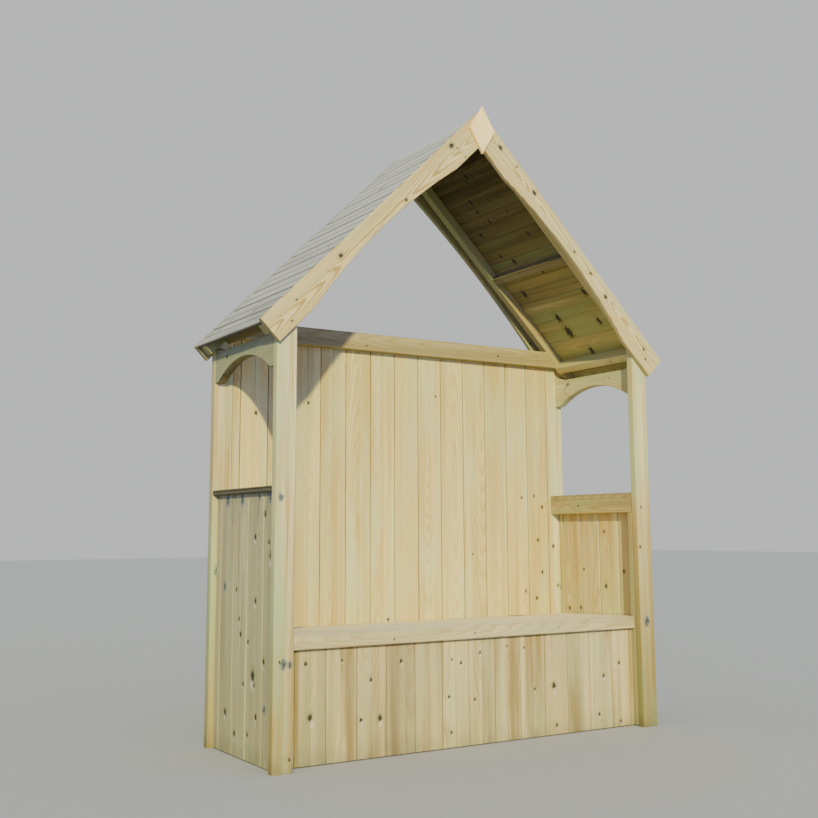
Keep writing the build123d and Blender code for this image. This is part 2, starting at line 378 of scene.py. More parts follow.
def group(name, inputs, outputs):
    """An empty shader group with named sockets: its graph, its inputs and its outputs."""
    tree = bpy.data.node_groups.new(name, "ShaderNodeTree")
    for key, kind, value in inputs:
        socket = tree.interface.new_socket(key, in_out="INPUT", socket_type="NodeSocket" + kind)
        if value is not None:
            socket.default_value = value
    for key, kind in outputs:
        tree.interface.new_socket(key, in_out="OUTPUT", socket_type="NodeSocket" + kind)
    return (Graph(tree), tree.nodes.new("NodeGroupInput").outputs,
        tree.nodes.new("NodeGroupOutput").inputs)


def make_knot_group():
    """One knot: a dark eye, a brown rim, a pale tail and the push that it gives to the rings.

    A point's distance is counted in knot sizes along and across the board.  A spike knot is drawn
    out across the board and leans to one side by the broad noise.  The push is the size times a
    bell curve of the distance.
    """
    g, given, made = group("knot", [("Grain", "Vector", None), ("Place", "Vector", None),
        ("Spike", "Float", 0.0)], [(key, "Float") for key in ("Eye", "Rim", "Tail", "Push")])
    grain, spike = given["Grain"], given["Spike"]
    away = g.apart(grain, given["Place"])
    size = g.calc("MAXIMUM", g.split(given["Place"])[2], 0.0005)
    wide = g.noise(grain, 70.0)
    lean = g.scaled(g.times(away[1], spike), g.scaled(wide, 2.6, -1.3), away[0])
    s = g.calc("DIVIDE", g.times(lean, g.scaled(spike, 0.25, 0.72)), size)
    e = g.times(g.calc("DIVIDE", away[1], size), g.scaled(spike, -0.5, 1.0))
    e = g.add(e, g.times(g.less(wide, 0.5), g.times(s, 1.6)))
    far = g.length(s, e)
    rough = g.noise(grain, 260.0, 1.0)
    ragged = g.add(far, g.scaled(rough, 1.1, -0.55))
    g.link(g.step(ragged, 1.15, 0.65), made["Eye"])
    g.link(g.step(ragged, 2.4, 0.8), made["Rim"])
    below = g.times(g.add(s, 1.5), 0.75)
    aside = g.times(g.less(e, 0.5), 1.1)
    tail = g.add(g.length(below, aside), g.scaled(rough, 0.8, -0.4))
    g.link(g.step(tail, 1.2, 0.5), made["Tail"])
    bell = g.calc("EXPONENT", g.times(far, far, -0.07))
    g.link(g.times(bell, size, 0.35), made["Push"])
    return g.tree


# colours of the marks on the timber, in linear light
GREY_STREAK = (0.11, 0.11, 0.09, 1)
DRIP = (0.12, 0.14, 0.13, 1)
STAIN_EDGE = (0.2, 0.24, 0.28, 1)
STAIN_CORE = (0.055, 0.07, 0.066, 1)
KNOT_RIM = (0.17, 0.145, 0.06, 1)
KNOT_TAIL = (0.86, 0.82, 0.62, 1)
KNOT_EYE = (0.03, 0.034, 0.024, 1)
DARK_FOOT = (0.6, 0.58, 0.51, 1)
SPLASH = (0.09, 0.085, 0.05, 1)
END_GRAIN = (0.26, 0.2, 0.11, 1)
JOINT_DIRT = (0.085, 0.06, 0.028, 1)
CAP_UNDER = 0.885  # underside of the arm caps, from which drips run down

COLOURS = ("light", "dark", "warm", "green", "worn", "deep")
VALUES = dict(bands=0.35, ring_size=0.007, rings=0.35, fibres=0.25, greenness=0.3, wear=1.0,
    ground=0.6, drips=0.0, variety=0.5, dirt=1.0, tails=0.0, band_rate=26.0, spike=0.0)


def make_timber_group(knot):
    """Pine: rings about a pith, fibres, knots, stains, weather and dirt in the joints.

    The rings are the distance from the pith's line, which drifts in depth along the board,
    divided by the ring size; its fraction rises slowly to the dark late wood and falls fast.
    """
    g, given, made = group("timber", [(key, "Color", None) for key in COLOURS] +
        [(key, "Float", value) for key, value in VALUES.items()],
        [("Color", "Color"), ("Roughness", "Float"), ("Height", "Float")])
    grain = g.attribute("grain")
    s, e, d = g.split(grain)
    groove, wear = g.split(g.attribute("marks"))[:2]
    tone = g.split(g.attribute("tone"))
    pith = g.split(g.attribute("pith"))
    cut, foot = g.split(g.attribute("cut"))[:2]
    place = g.put("ShaderNodeTexCoord").outputs["Object"]
    height = g.split(place)[2]

    knots = {"Eye": 0.0, "Rim": 0.0, "Tail": 0.0}
    push = 0.0
    for letter in "abcd":
        one = g.put("ShaderNodeGroup", {"Grain": grain, "Place": g.attribute("knot_" + letter),
            "Spike": given["spike"]}, node_tree=knot).outputs
        knots = {key: g.calc("MAXIMUM", value, one[key]) for key, value in knots.items()}
        push = g.add(push, one["Push"])
    stain, core = 0.0, 0.0
    for letter in "ab":
        spot = g.attribute("stain_" + letter)
        away = g.apart(grain, spot)
        size = g.calc("MAXIMUM", g.split(spot)[2], 0.0005)
        far = g.length(g.calc("DIVIDE", g.times(away[0], 0.7), size),
            g.calc("DIVIDE", away[1], size))
        far = g.add(far, g.scaled(g.noise(grain, 110.0), 1.5, -0.75))
        stain = g.calc("MAXIMUM", stain, g.step(far, 1.2, 0.6))
        core = g.calc("MAXIMUM", core, g.step(far, 0.75, 0.15))

    # rings, fibres and bands
    sway = g.scaled(g.drawn((s, 1.4), (tone[0], 9.0), tone[2]), 0.022, -0.011)
    across = g.add(g.less(e, pith[0]), sway)
    sunk = g.add(g.less(d, pith[1]), g.times(g.calc("SINE", g.times(s, 3.1)), pith[2]))
    fine = g.drawn((s, 9.0), (e, 60.0), (d, 60.0))
    ripple = g.times(g.less(fine, 0.5), g.times(given["ring_size"], 0.9))
    radius = g.add(g.length(across, sunk), ripple, push)
    turns = g.calc("FRACT", g.calc("DIVIDE", radius, given["ring_size"]))
    late = g.times(g.step(turns, 0.35, 0.85), g.step(turns, 1.0, 0.9))
    hair = g.drawn((s, 5.0), (e, 260.0), (d, 260.0), detail=3.0, rough=0.6)
    streak = g.drawn((s, 1.3), (e, 42.0), g.add(g.times(d, 30.0), tone[1]))
    ringed = g.times(late, given["rings"], g.scaled(tone[1], 0.9, 0.55))
    streaked = g.times(g.step(streak, 0.32, 0.72), given["fibres"])
    haired = g.times(g.less(hair, 0.5), given["fibres"])
    share = g.calc("ADD", g.add(ringed, streaked), haired, clamp=True)
    colour = g.blend(share, given["light"], given["dark"])
    colour = g.blend(g.times(tone[2], given["variety"]), colour, given["warm"])
    band = g.drawn((s, 0.7), (e, given["band_rate"]), g.scaled(tone[1], 13.0, tone[2]), detail=3.0)
    colour = g.blend(g.times(g.step(band, 0.4, 0.66), given["bands"]), colour, given["deep"])

    # green patches, the board's own lightness, which also carries the painted light and shade set
    # in some tones, and its weathered face
    patch = g.drawn((s, 1.6), (e, 9.0), (tone[0], 7.0), scale=1.6, detail=3.0)
    patch = g.times(g.step(patch, 0.38, 0.7), given["greenness"],
        g.scaled(g.calc("MINIMUM", tone[0], 0.7), 0.9, 0.5))
    colour = g.blend(g.calc("MINIMUM", patch, 1.0), colour, given["green"])
    shade = g.scaled(g.less(tone[0], 0.5), g.times(given["variety"], 0.42), 1.0)
    shade = g.join(shade, shade, shade)
    colour = g.blend(1.0, colour, shade, "MULTIPLY")
    grey = g.drawn((s, 2.0), (e, 34.0), (d, 34.0), detail=3.0)
    worn = g.blend(g.times(g.step(grey, 0.35, 0.8), 0.28), given["worn"], GREY_STREAK)
    worn = g.blend(0.2, worn, shade, "MULTIPLY")
    wear = g.calc("MULTIPLY", wear, given["wear"], clamp=True)
    wear = g.times(wear, g.step(patch, -0.6, 0.25, 0.7, 1.0))
    colour = g.blend(wear, colour, worn)

    # drips, stains and knots
    down = g.step(height, 0.66, CAP_UNDER)
    run = g.step(g.drawn((e, 30.0), (s, 2.5), (tone[0], 11.0)), 0.5, 0.68)
    colour = g.blend(g.times(run, g.times(down, down), given["drips"]), colour, DRIP)
    colour = g.blend(g.times(stain, 0.88), colour, g.blend(core, STAIN_EDGE, STAIN_CORE))
    colour = g.blend(g.times(knots["Rim"], 0.34), colour, KNOT_RIM)
    colour = g.blend(g.times(knots["Tail"], given["tails"], streak), colour, KNOT_TAIL)
    faded = g.step(wear, 0.6, 1.0, 0.92, 0.5)
    colour = g.blend(g.times(knots["Eye"], faded), colour, KNOT_EYE)

    # darker towards the ground, splashes near it, cut ends and the dirt in the joints
    foot = g.times(g.step(height, 1.25, 0.1), foot)
    colour = g.blend(foot, colour, DARK_FOOT, "MULTIPLY")
    lower_darkening = g.step(height, 0.75, 0.0, 1.0, 0.84)
    colour = g.blend(given["ground"], colour, g.join(lower_darkening, lower_darkening, g.times(lower_darkening, lower_darkening)), "MULTIPLY")
    low = g.scaled(g.noise(place, 14.0, 3.0), 0.12, height)
    splash = g.times(g.step(low, 0.15, 0.02), g.times(given["ground"], 0.6))
    colour = g.blend(splash, colour, SPLASH)
    colour = g.blend(g.times(cut, 0.4), colour, END_GRAIN)
    dirt = g.step(g.times(groove, given["dirt"]), 0.45, 1.0)
    dirt = g.times(dirt, g.scaled(streak, 1.1, 0.2))
    colour = g.blend(g.calc("MINIMUM", dirt, 0.9), colour, JOINT_DIRT)
    g.link(colour, made["Color"])
    g.link(g.scaled(hair, 0.22, 0.6), made["Roughness"])
    rise = g.scaled(late, 0.35, g.times(hair, 0.8))
    g.link(g.less(rise, knots["Eye"]), made["Height"])
    return g.tree


def lin(*srgb):
    """A display colour, 0 to 255, as linear light."""
    out = [(v / 255 / 12.92) if v / 255 <= 0.04045 else ((v / 255 + 0.055) / 1.055) ** 2.4
        for v in srgb]
    return (*out, 1.0)


def new_material(name):
    """A material with its graph and its shader's inputs."""
    material = bpy.data.materials.new(name)
    material.use_nodes = True
    tree = material.node_tree
    return material, Graph(tree), tree.nodes["Principled BSDF"].inputs


def metal(name, colour, rough):
    """Zinc-plated steel with a faintly cloudy face."""
    material, g, shader = new_material(name)
    cloud = g.noise(g.put("ShaderNodeTexCoord").outputs["Object"], 120.0, 3.0)
    tone = g.blend(cloud, lin(*colour), lin(*[v * 0.78 for v in colour]))
    g.link(tone, shader["Base Color"])
    g.link(g.scaled(cloud, 0.2, rough), shader["Roughness"])
    shader["Metallic"].default_value = 1.0
    return material


timber_group = make_timber_group(make_knot_group())
PINE = {}


def pine(name, *colours, **values):
    """A finish from the timber group: display colours in the order of COLOURS, and values."""
    material, g, shader = new_material(name + "_pine")
    pairs = {key: lin(*colour) for key, colour in zip(COLOURS, colours)}
    look = g.put("ShaderNodeGroup", {**pairs, **values}, node_tree=timber_group).outputs
    g.link(look["Color"], shader["Base Color"])
    g.link(look["Roughness"], shader["Roughness"])
    bump = g.put("ShaderNodeBump", {"Strength": 0.5, "Distance": 0.0007, "Height": look["Height"]})
    g.link(bump.outputs["Normal"], shader["Normal"])
    shader["Specular IOR Level"].default_value = 0.1
    PINE[name] = material


pine("post", (242, 229, 176), (172, 150, 92), (233, 204, 137), (189, 199, 146), (152, 156, 130),
    (184, 154, 86), rings=0.5, fibres=0.72, bands=0.6, ring_size=0.005, greenness=0.9, ground=0.9)
pine("rafter", (206, 194, 144), (156, 134, 78), (196, 170, 108), (164, 170, 116), (150, 148, 120),
    (150, 130, 76), rings=0.35, fibres=0.42, bands=0.55, greenness=0.8)
pine("barge", (230, 212, 154), (166, 136, 74), (220, 188, 118), (194, 198, 144), (168, 162, 134),
    (192, 164, 96), rings=0.85, fibres=0.3, bands=0.35, ring_size=0.004, greenness=0.45)
pine("plate", (255, 225, 154), (214, 173, 101), (244, 204, 137), (228, 208, 149), (168, 162, 134),
    (226, 188, 122), rings=0.35, fibres=0.16, bands=0.2, greenness=0.2)
pine("panel", (233, 213, 143), (180, 154, 88), (222, 196, 124), (204, 204, 146), (168, 162, 132),
    (194, 166, 94), rings=0.4, fibres=0.44, bands=0.7, greenness=0.7, variety=0.68, dirt=1.4)
pine("inner", (226, 210, 156), (178, 152, 90), (218, 192, 124), (198, 200, 142), (172, 171, 136),
    (186, 156, 86), rings=0.4, fibres=0.3, bands=0.75, band_rate=16.0, greenness=0.8, wear=0.55,
    drips=0.5, variety=0.95)
pine("front", (222, 206, 156), (158, 136, 86), (208, 182, 124), (186, 184, 136), (160, 158, 126),
    (152, 130, 80), rings=0.36, fibres=0.5, bands=0.95, greenness=0.7, variety=0.6, tails=0.8,
    band_rate=20.0)
pine("side", (230, 216, 166), (160, 142, 96), (218, 190, 124), (190, 194, 136), (174, 170, 140),
    (154, 136, 92), rings=0.4, fibres=0.5, bands=0.9, greenness=0.9, wear=0.55, drips=0.55,
    variety=1.1, tails=0.8)
# roof: every colour but worn shows on the undersides, a dark olive that is partly the boards'
# colour and partly painted shade
pine("roof", (158, 148, 102), (110, 96, 54), (144, 126, 76), (118, 124, 78), (206, 207, 200),
    (94, 86, 48), rings=0.45, fibres=0.56, bands=0.75, greenness=0.85, wear=1.0, variety=1.2,
    dirt=1.5, spike=1.0)
pine("arch", (228, 218, 170), (168, 150, 94), (214, 192, 132), (180, 190, 140), (150, 154, 122),
    (168, 160, 106), rings=0.6, fibres=0.3, bands=0.5, greenness=0.8, dirt=1.6)
pine("arm", (206, 194, 144), (156, 134, 80), (196, 170, 114), (162, 168, 118), (94, 88, 72),
    (148, 134, 84), rings=0.5, fibres=0.62, bands=0.7, greenness=0.65)
# seat: the pale worn colour on the tops is partly bleaching and partly a painted highlight
pine("seat", (228, 214, 168), (166, 142, 88), (214, 188, 132), (190, 190, 142), (255, 244, 212),
    (174, 150, 92), rings=0.5, fibres=0.5, bands=0.7, greenness=0.5)
ZINC = metal("zinc_steel", (176, 178, 180), 0.32)
NAIL_STEEL = metal("nail_steel", (120, 116, 108), 0.45)


# ---------------- posts

def roof_line(drop):
    """The station at which an upright meets a line that runs drop below the roof's top."""
    return lambda points: RIDGE - np.abs(points[:, 0]) - drop / HALF


# each post: its knots, its stains, its tone and how dark its foot is
POSTS = {
    ("front", -1): (mm((-805, 345, 3), (-767, 43, 4), (-790, 1410, 3)),
        mm((-806, 867, 12), (-790, 337, 14), (-768, 333, 10)), (0.8, 0.25, 0.08), 0.5),
    ("front", 1): (mm((762, 690, 5), (774, 847, 4)), mm((784, 401, 16)), (0.75, 0.5, 0.75), 1.0),
    ("rear", -1): (mm((-790, 900, 4)), mm((-800, 617, 16)), (0.62, 0.25, 0.08), 0.4),
    ("rear", 1): (mm((760, 689, 6), (780, 520, 5)), mm((800, 510, 10)), (0.9, -0.3, 0.35), 0.1),
}


def make_posts():
    """Four posts, each a squared length with its top cut to the pitch."""
    for place, y0, y1, drop, wear in (("front", FRONT, POST_BACK, RAFTER_LOW, 0.35),
            ("rear", REAR_POST, ROOF_END, BOARD, 0.75)):
        for sign, hand in SIDES:
            knots, stains, tone, foot = POSTS[place, sign]
            low, high = sorted((sign * INNER, sign * OUTER))
            single(f"post_{place}_{hand}", "post", "post_timber",
                oblong(low, high, -y1, -y0, 0.004), ORIGIN, UP, -REAR, RIGHT, evenly(0, 1.5, 0.25),
                end=roof_line(drop), knots=knots, stains=stains, weather=(wear, 0.0), tone=tone,
                foot=foot, pith=some_pith(OUTER - INNER, -sign * 0.085, 0.4))


# ---------------- roof

def slope(sign):
    """The origin and directions of a slope: down the roof and square into it."""
    down = np.array([sign * HALF, 0, -HALF])
    drop = np.array([-sign * HALF, 0, -HALF])
    return np.array([0, 0, RIDGE]), down, drop


def mitre(down):
    """The station at which a sloping board meets the middle plane."""
    return lambda points: -points[:, 0] / down[0]


FIRST_JOINT = 0.0407  # from the ridge to the first joint between the roof boards
ROOF_JOINT = 0.0046
EAVE_STAIN = (1.072, 0.01, 0.008)
UNDER_KNOTS = mm((198, -15, 6), (217, 5, 4), (306, 65, 6), (355, 68, 4), (398, -96, 4),
    (415, 38, 5), (454, 142, 5), (616, 66, 6), (779, 146, 8), (847, -187, 7), (934, 57, 8),
    (996, -155, 7), (1014, 53, 12), (1132, 3, 7), (520, -120, 5), (575, 120, 4), (700, -50, 5),
    (1190, -100, 6))
# lifts of each roof board's lightness: on the left slope painted shade, darkest at the eave, which
# also darkens the weathered top there; on the right slope painted shade near the ridge and painted
# light towards the eave
UNDER_PAINTED_LIGHT_AND_SHADE = {
    -1: np.linspace(-0.5, -1.5, 12),
    1: np.array([-1.3, -1.1, -0.9, -0.7, -0.5, -0.3, 0.6, 1.2, 1.3, 1.6, 1.7, 1.6]),
}


def make_roof():
    """Boards from front to rear down each slope, weathered grey above and a dark olive below that
    is partly painted shade.
    """
    edges = [0.0] + [FIRST_JOINT + COVER * n for n in range(11)] + [SLOPE]
    last = len(edges) - 2
    for sign, hand in SIDES:
        origin, down, drop = slope(sign)
        sticks = []
        # random tones plus the painted light and shade of the lifts
        tones = list(zip(chance.uniform(0.1, 0.6, 12) + UNDER_PAINTED_LIGHT_AND_SHADE[sign], chance.random(12),
            chance.uniform(0, 0.9, 12)))
        for number, (e0, e1) in enumerate(zip(edges[:-1], edges[1:])):
            knots = (within(UNDER_KNOTS, e0, e1, 0.012, 1.45) if sign > 0 else
                loose_knots(e0, e1, FRONT, ROOF_END, 2.2))
            section, groove = matchboard(e0, e1, e1 - e0 > 0.07, ROOF_JOINT,
                (1.0, float(number < last)), spread=0.002)
            if number == last:
                groove[[2, 3]] = (0.0, 1.0)
            if number == 0:  # cut to the ridge, with a plain edge to the next board
                section = np.array([(BOARD, 0), (e1 - 0.001, 0), (e1, 0.001), (e1, 0.009),
                    (e1 - 0.003, BOARD), (0.0, BOARD)])
                groove = np.array([0, 0, 1, 1, 0, 0.4])
            stains = [EAVE_STAIN] if sign < 0 and e0 < EAVE_STAIN[0] < e1 else []
            sticks.append(stick(section, origin + BOARD * drop, REAR, -drop, down,
                evenly(FRONT, ROOF_END, 0.15), knots=knots, stains=stains, weather=(0.0, 1.0),
                groove=groove, tone=tones[number]))
        build("boards_roof_" + hand, sticks, "roof", ["roof_" + hand])


def make_rafters():
    """A rafter along each slope at the front and the rear."""
    for sign, hand in SIDES:
        origin, down, drop = slope(sign)
        for place, y0, y1 in (("front", FRONT, POST_BACK), ("rear", RAFTER_REAR, REAR_POST)):
            single(f"rafter_{place}_{hand}", "rafter", "rafter_timber",
                oblong(BOARD, RAFTER_LOW, -y1, -y0), origin, down, -REAR, drop,
                evenly(0.05, SLOPE, 0.3), start=mitre(down), tone=(0.5, 0.4, 0.4),
                knots=loose_knots(BOARD, RAFTER_LOW, 0.1, 1.2, 1.2, (0.002, 0.005)))


# each kind of barge board: faces, width, rise above the roof, and the place, length and rise of
# the arc cut into its lower edge
BARGES = {"front": (FRONT - BARGE, FRONT, 0.1, 0.01, 0.66, 0.826, 0.036),
    "rear": (ROOF_END, ROOF_END + BARGE, 0.069, 0.0003, 0.62, 1.04, 0.027)}
BARGE_LOOKS = {
    ("front", -1): (mm((12, 205, 9), (33, 190, 3), (80, 183, 3), (42, 515, 5), (23, 873, 8),
        (27, 1113, 3), (68, 1177, 4)), (0.008, -0.016, 0.014)),
    ("front", 1): (mm((20, 148, 9), (10, 248, 4), (15, 370, 9), (25, 657, 4), (22, 770, 5),
        (32, 885, 8), (32, 1163, 5), (55, 1197, 4)), (-0.012, -0.018, 0.012)),
}


def make_barges():
    """Barge boards: a section whose lower edge follows the arc, carried down the slope."""
    for sign, hand in SIDES:
        origin, down, drop = slope(sign)
        for place, (y0, y1, width, rise, centre, length, lift) in BARGES.items():
            low, high = centre - length / 2, centre + length / 2
            along = np.concatenate([[0.05], evenly(min(0.14, low - 0.005), low, 0.1),
                np.linspace(low, high, 41)[1:], evenly(high, SLOPE, 0.1)[1:]])
            lower = width - rise - arc(along, centre, length / 2, lift)
            section = oblong(np.full(len(along), -rise), lower, -y1, -y0, 0.0022)
            scattered = loose_knots(0, 0.05, 0.1, 1.2, 1.5, (0.003, 0.006))
            knots, pith = BARGE_LOOKS.get((place, sign), (scattered, None))
            front = place == "front"
            single(f"barge_{place}_{hand}", "barge" if front else "rafter", "barge_timber",
                section, origin, down, -REAR, drop, along, start=mitre(down), knots=knots,
                tone=(0.55, 0.75, 0.3), pith=pith, middle=0.04,
                weather=(0.6, 0.0) if front else (0.0, 0.2), top=0.0 if front else 1.0)


def make_cross_rails():
    """Rails on edge below the boards, from the front rafter to the rear one."""
    for sign, hand in SIDES:
        origin, down, drop = slope(sign)
        low, high = corners("eave_rail_" + hand)
        centre = (np.array(low) + np.array(high)) / 2 - origin
        # the rails' lightness is painted: the mid rails and the left eave rail are darkened with
        # painted shade, the right eave rail is lightened with painted light
        for name, middle, width, depth, shade in (
                ("mid_rail", 0.668, 0.032, RAFTER_LOW, -2.1),
                ("eave_rail", float(np.dot(centre, down)), 0.034, 0.067,
                 1.5 if sign > 0 else -1.2)):
            e0, e1 = middle - width / 2, middle + width / 2
            single(f"{name}_{hand}", "rafter", "rail_timber",
                oblong(e0, e1, -depth, -BOARD, 0.0015), origin, REAR, -drop, down,
                evenly(POST_BACK, RAFTER_REAR, 0.2), tone=(shade, 0.5, 0.35),
                knots=loose_knots(e0, e1, -0.2, 0.2, 0.8, (0.002, 0.004)))


def make_apex_plate():
    """A diamond plate: rows across it, whose half width falls evenly from its middle."""
    low, high = corners("apex_plate")
    half, tall = high[0], (high[2] - low[2]) / 2
    middle = (high[2] + low[2]) / 2
    rows = np.concatenate([[-1, -0.97], np.linspace(-0.9, 0.9, 9), [0.97, 1]])
    width = np.maximum(half * (1 - np.abs(rows)), 0.0012)
    bevel = 0.003
    section = oblong(-width, width, -high[1], -low[1], 0.0008)
    section[:, 4:6, 0] = np.sign(section[:, 4:6, 0]) * np.maximum(
        np.abs(section[:, 4:6, 0]) - bevel, 0.0004)
    section[:, [3, 6], 1] = -low[1] - bevel
    one = stick(section, middle * UP, UP, -REAR, RIGHT, rows * tall, tone=(1.33, -0.3, 0.3),
        pith=(0.06, -0.02, 0.008))
    build("plate_apex", [one], "plate", ["apex_plate"])


# ---------------- sides and back

SIDE_EDGES = {-1: [POST_BACK, -0.150, -0.021, 0.097, 0.213, REAR_POST],
    1: [POST_BACK, -0.237, -0.120, -0.003, 0.112, 0.229, REAR_POST]}
SIDE_TONES = [(0.25, 0.4, 0.1), (0.4, 0.6, 0.15), (0.72, 0.3, 0.0), (0.38, 0.5, 0.1),
    (0.3, 0.8, 0.1), (0.4, 0.4, 0.5)]
LEFT_SIDE_KNOTS = mm((-159, 814, 6), (-85, 738, 5), (-194, 721, 4), (-211, 677, 7), (68, 558, 4),
    (263, 538, 4), (-93, 527, 5), (42, 460, 4), (27, 410, 5), (-37, 389, 4), (-164, 335, 5),
    (-79, 282, 9), (-2, 248, 4), (-92, 253, 4), (149, 137, 6), (-108, 153, 5), (-224, 151, 5),
    (67, 77, 5), (-42, 88, 4))
LEFT_SIDE_STAINS = mm((171, 566, 15), (-173, 185, 13), (159, 868, 20), (30, 866, 17),
    (-115, 872, 9), (-200, 868, 15))
RIGHT_SIDE_KNOTS = mm((-36, 751, 4), (-38, 527, 6), (-149, 591, 5), (97, 593, 4), (196, 426, 5),
    (123, 432, 5))
# what the two sides don't share: finish, knots, stains, growth of the knots, dirt in the middle
SIDE_LOOKS = {-1: ("side", LEFT_SIDE_KNOTS, LEFT_SIDE_STAINS, 1.5, 0.8),
    1: ("inner", RIGHT_SIDE_KNOTS, (), 1.2, 0.4)}


def make_sides():
    """Upright boards, the arm rail and cap and the corner batten."""
    for sign, hand in SIDES:
        outward = sign * RIGHT
        low, high = corners("side_panel_" + hand)
        finish, knots, stains, grow, centre = SIDE_LOOKS[sign]
        boards = boarding(SIDE_EDGES[sign], SIDE_FACE * outward, UP, -outward, REAR, low[2],
            high[2], knots=knots, stains=stains, grow=grow, weather=(1.0, 0.0), joint=0.0042,
            ease=0.0042, centre=centre, tones=SIDE_TONES)
        build("boards_side_" + hand, boards, finish, ["side_panel_" + hand])
        low, high = corners("arm_rail_" + hand)
        single("arm_rail_" + hand, "arm", "arm_timber", oblong(low[2], high[2], INNER, SIDE_INNER),
            ORIGIN, REAR, outward, UP, evenly(POST_BACK, REAR_POST, 0.25), tone=(0.55, 0.6, 0.5),
            knots=loose_knots(low[2], high[2], -0.2, 0.2, 3.0, (0.002, 0.004)))
        low, high = corners("arm_cap_" + hand)
        turn, r = np.linspace(0, pi / 2, 6), 0.005
        round_top = [(high[2] - r + r * sin(t), OUTER - r + r * cos(t)) for t in turn]
        round_low = [(low[2] + r - r * cos(t), OUTER - r + r * sin(t)) for t in turn[::-1]]
        ring = np.array([(low[2], INNER), (high[2], INNER)] + round_top + round_low)
        single("arm_cap_" + hand, "arm", "arm_timber", ring, ORIGIN, REAR, outward, UP,
            evenly(POST_BACK, REAR_POST, 0.25), weather=(0.25, 1.0), tone=(0.4, 0.6, 0.4),
            knots=loose_knots(low[2], high[2], -0.2, 0.2, 2.0))
        low, high = corners("corner_batten_" + hand)
        single("corner_batten_" + hand, "rafter", "rail_timber",
            oblong(INNER, SIDE_INNER, -high[1], -low[1], 0.0015), ORIGIN, UP, -REAR, outward,
            evenly(low[2], high[2], 0.25), tone=(0.4, 0.5, 0.3))


# each strip of the seam: its two ends as y and z, and half its width
ARCH_SEAM = [((0.1592, 1.4059), (0.1998, 1.3642), 0.0014),
    ((0.1998, 1.3642), (0.1591, 1.3393), 0.0008)]
ARCH_LOOKS = {
    # left arch: the dirt on its lower edge is painted shade on the soffit, and its heavier weather
    # is partly weathering and partly painted shade
    -1: dict(knots=[(1.385, 0.15, 0.006)], weather=(0.0, 0.8),
        groove=[0.3, 0, 0, 0, 0, 0.3, 1, 1]),
    1: dict(knots=[(1.39, -0.1, 0.003)], weather=(0.0, 0.3), stains=[(1.392, 0.168, 0.009)]),
}


def make_arches():
    """Arched boards: top and lower edges as heights along Y, the lower one an arc of a circle.

    The top edge climbs over a shoulder at both ends.
    """
    low, high = corners("arch_right")
    y0, y1 = low[1], high[1]
    centre, span = (y0 + y1) / 2, y1 - y0
    shoulder, climb = 0.06, 0.018
    foot, top = low[2], high[2] - climb
    crown, half = top - 0.047, span / 2 - 0.026
    y = np.sort(np.concatenate([[y0, y0 + 0.013], np.linspace(centre - half, centre + half, 49),
        [y1 - 0.013, y1], [centre - span / 2 + shoulder], [centre + span / 2 - shoulder]]))
    lower = foot + arc(y, centre, half, crown - foot)
    upper = top + climb * np.clip((np.abs(y - centre) - (span / 2 - shoulder)) / shoulder, 0, None)
    for sign, hand in SIDES:
        single("arch_" + hand, "arch", "arch_timber", oblong(lower, upper, OUTER - ARCH, OUTER),
            ORIGIN, REAR, sign * RIGHT, UP, y, tone=(0.45, 0.7, 0.25), middle=1.36,
            pith=(0.03, -0.012, 0.02), **ARCH_LOOKS[sign])
    sticks = []
    for (y0, z0), (y1, z1), wide in ARCH_SEAM:
        start, along = np.array([OUTER - ARCH, y0, z0]), np.array([0, y1 - y0, z1 - z0])
        length = float(np.linalg.norm(along))
        along = along / length
        sticks.append(stick(oblong(-wide, wide, -0.001, 0.0003, 0.0001), start, along, -RIGHT,
            np.cross(along, -RIGHT), [0.0, length], groove=np.ones(8), tone=(0.3, 0.5, 0.3)))
    build("seam_arch_right", sticks, "arm", None)


BACK_JOINT = -0.7227  # the first joint of the back boards from the left
BACK_KNOTS = mm((701, 858, 5), (658, 905, 4), (675, 716, 5), (696, 579, 5), (604, 501, 4),
    (663, 470, 5), (590, 898, 4), (-82, 413, 4), (-440, 1250, 4), (-660, 1200, 5), (150, 1310, 3),
    (330, 660, 3))
BACK_LIFTS = [0.3, 0.0, -0.3, 0.0, 0.35, 0.5, 0.05, 0.0, 0.15, 0.2, 0.5, 0.25, 0.0, 0.15, 0.0]


def make_back():
    """Upright boards between the rear posts, and the rail along their top."""
    low, high = corners("back_panel")
    edges = [-INNER] + [BACK_JOINT + COVER * n for n in range(14)] + [INNER]
    boards = boarding(edges, (REAR_POST + BOARD) * REAR, UP, -REAR, RIGHT, low[2], high[2],
        knots=BACK_KNOTS, weather=(0.8, 0.0), centre=0.45, lifts=BACK_LIFTS)
    build("boards_back", boards, "panel", ["back_panel"])
    low, high = corners("back_top_rail")

    def meet(side):
        """The station at which the rail meets the rafters' underside."""
        return lambda points: side * (RIDGE - RAFTER_LOW / HALF - points[:, 2])

    # the rail's low lightness, -0.3 in its tone, is painted shade under the roof
    one = stick(oblong(low[2], high[2], -high[1], -low[1]), ORIGIN, RIGHT, -REAR, UP,
        evenly(-0.7, 0.7, 0.2), start=meet(-1), end=meet(1), tone=(-0.3, 0.7, 0.6),
        knots=[(1.5, 0.45, 0.004), (1.49, -0.2, 0.003)], pith=(0.01, -0.014, 0.02))
    build("timber_back_rail", [one], "rafter", ["back_top_rail"])


# ---------------- storage box and seat

